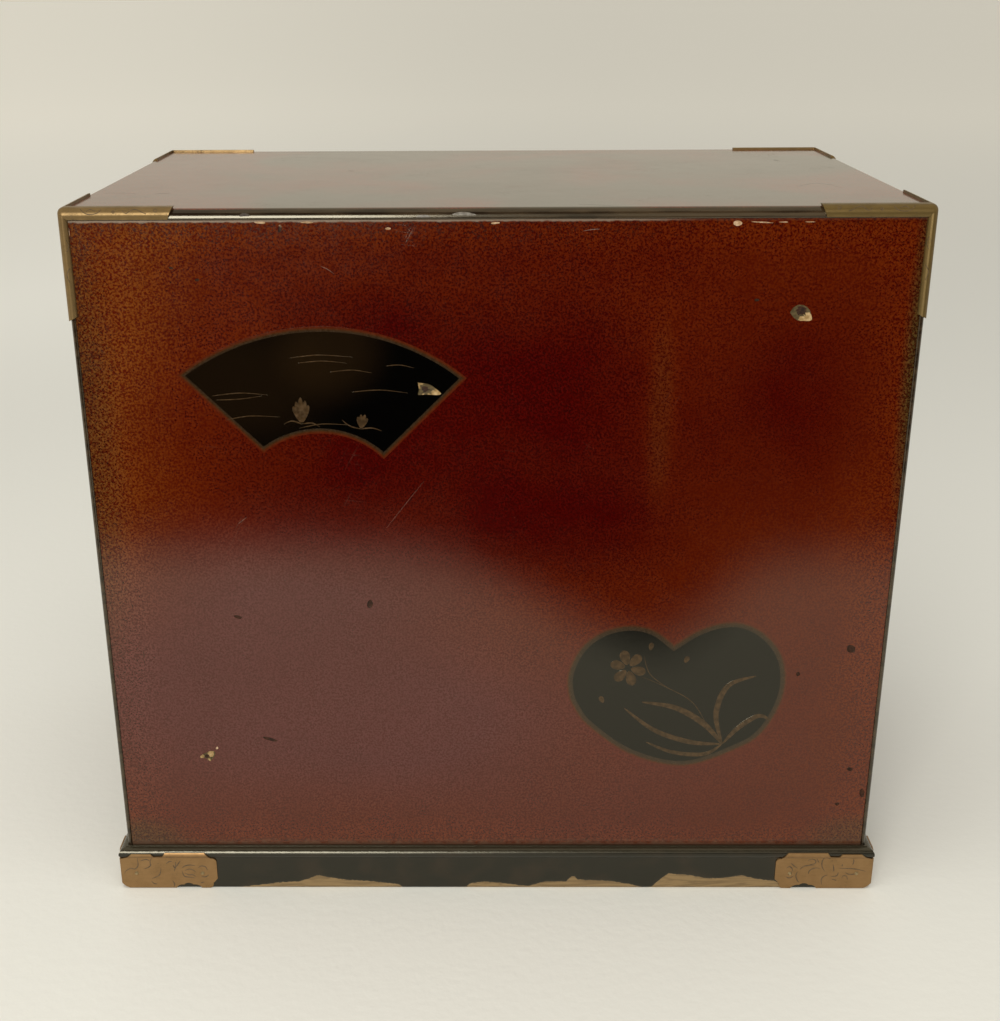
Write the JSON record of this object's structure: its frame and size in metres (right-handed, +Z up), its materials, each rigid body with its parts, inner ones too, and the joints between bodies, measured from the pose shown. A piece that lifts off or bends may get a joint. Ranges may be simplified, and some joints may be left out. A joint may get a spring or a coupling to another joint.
{
  "type": "lacquer table cabinet",
  "caption": "Small red lacquered cabinet with brass corners, a moulded black plinth, hinged doors, drawers with ring pulls and a plain back with fan and heart panels.",
  "frame": {"origin": "on the table under the middle of the cabinet", "axes": "+Z up, +X along the width to the right when facing the doors, +Y from the front to the back"},
  "size_m": [0.4102, 0.2556, 0.3671],
  "materials": {
    "red_lacquer": "polished red lacquer with a fine dark mottle, worn and chipped at the edges",
    "black_lacquer": "polished black-brown lacquer, rubbed through at the lower edges",
    "bare_wood": "plain planed softwood",
    "brass": "engraved brass with a dull brown tone, bright on worn edges",
    "steel": "filed steel"
  },
  "bodies": {
    "case": {"top_board": "red_lacquer", "bottom_board": "black_lacquer", "left_side": "red_lacquer", "right_side": "red_lacquer", "back_panel": "red_lacquer", "lower_shelf": "black_lacquer", "upper_shelf": "black_lacquer", "cupboard_shelf": "black_lacquer", "left_partition": "black_lacquer", "right_partition": "black_lacquer", "door_stops": "black_lacquer", "plinth_front": "black_lacquer", "plinth_back": "black_lacquer", "plinth_left": "black_lacquer", "plinth_right": "black_lacquer", "plinth_corner_blocks": "bare_wood", "top_mount_back_left": "brass", "top_mount_back_right": "brass", "top_mount_front_left": "brass", "top_mount_front_right": "brass", "base_mount_back_left": "brass", "base_mount_back_right": "brass", "base_mount_front_left": "brass", "base_mount_front_right": "brass", "case_nails": "brass", "hinge_frame_leaves": "brass", "hinge_pins": "brass"},
    "left_door": {"left_door": "red_lacquer", "left_door_hinge_leaves": "brass", "left_door_nails": "brass", "left_door_pull_plate": "brass", "lock_keeper": "brass"},
    "right_door": {"right_door": "red_lacquer", "right_door_hinge_leaves": "brass", "right_door_nails": "brass", "right_door_pull_plate": "brass", "lock_case": "brass", "lock_escutcheon": "brass"},
    "lock_bolt": {"lock_bolt": "steel"},
    "left_drawer": {"left_drawer_front": "red_lacquer", "left_drawer_box": "bare_wood", "left_drawer_pull_plate": "brass"},
    "centre_drawer": {"centre_drawer_front": "red_lacquer", "centre_drawer_box": "bare_wood", "centre_drawer_pull_plate": "brass"},
    "right_drawer": {"right_drawer_front": "red_lacquer", "right_drawer_box": "bare_wood", "right_drawer_pull_plate": "brass"},
    "long_drawer": {"long_drawer_front": "red_lacquer", "long_drawer_box": "bare_wood", "long_drawer_pull_plates": "brass"},
    "left_door_ring": {"left_door_ring": "brass"},
    "right_door_ring": {"right_door_ring": "brass"},
    "left_drawer_ring": {"left_drawer_ring": "brass"},
    "centre_drawer_ring": {"centre_drawer_ring": "brass"},
    "right_drawer_ring": {"right_drawer_ring": "brass"},
    "long_drawer_left_ring": {"long_drawer_left_ring": "brass"},
    "long_drawer_right_ring": {"long_drawer_right_ring": "brass"}
  },
  "joints": [
    {"name": "left_door_swing", "type": "hinge", "parent": "case", "child": "left_door", "pos_m": [-0.191, -0.1247, 0.2], "axis": [0, 0, -1], "range_deg": [0, 180]},
    {"name": "right_door_swing", "type": "hinge", "parent": "case", "child": "right_door", "pos_m": [0.191, -0.1247, 0.2], "axis": [0, 0, 1], "range_deg": [0, 180]},
    {"name": "lock_bolt_slide", "type": "slide", "parent": "right_door", "child": "lock_bolt", "axis": [-1, 0, 0], "range_m": [0, 0.007]},
    {"name": "left_drawer_slide", "type": "slide", "parent": "case", "child": "left_drawer", "axis": [0, -1, 0], "range_m": [0, 0.2]},
    {"name": "centre_drawer_slide", "type": "slide", "parent": "case", "child": "centre_drawer", "axis": [0, -1, 0], "range_m": [0, 0.2]},
    {"name": "right_drawer_slide", "type": "slide", "parent": "case", "child": "right_drawer", "axis": [0, -1, 0], "range_m": [0, 0.2]},
    {"name": "long_drawer_slide", "type": "slide", "parent": "case", "child": "long_drawer", "axis": [0, -1, 0], "range_m": [0, 0.2]},
    {"name": "left_door_ring_lift", "type": "hinge", "parent": "left_door", "child": "left_door_ring", "pos_m": [-0.026, -0.1253, 0.2], "axis": [-1, 0, 0], "range_deg": [0, 170]},
    {"name": "right_door_ring_lift", "type": "hinge", "parent": "right_door", "child": "right_door_ring", "pos_m": [0.026, -0.1253, 0.2], "axis": [-1, 0, 0], "range_deg": [0, 170]},
    {"name": "left_drawer_ring_lift", "type": "hinge", "parent": "left_drawer", "child": "left_drawer_ring", "pos_m": [-0.12967, -0.1253, 0.3305], "axis": [-1, 0, 0], "range_deg": [0, 170]},
    {"name": "centre_drawer_ring_lift", "type": "hinge", "parent": "centre_drawer", "child": "centre_drawer_ring", "pos_m": [0, -0.1253, 0.3305], "axis": [-1, 0, 0], "range_deg": [0, 170]},
    {"name": "right_drawer_ring_lift", "type": "hinge", "parent": "right_drawer", "child": "right_drawer_ring", "pos_m": [0.12967, -0.1253, 0.3305], "axis": [-1, 0, 0], "range_deg": [0, 170]},
    {"name": "long_drawer_left_ring_lift", "type": "hinge", "parent": "long_drawer", "child": "long_drawer_left_ring", "pos_m": [-0.095, -0.1253, 0.0705], "axis": [-1, 0, 0], "range_deg": [0, 170]},
    {"name": "long_drawer_right_ring_lift", "type": "hinge", "parent": "long_drawer", "child": "long_drawer_right_ring", "pos_m": [0.095, -0.1253, 0.0705], "axis": [-1, 0, 0], "range_deg": [0, 170]}
  ]
}
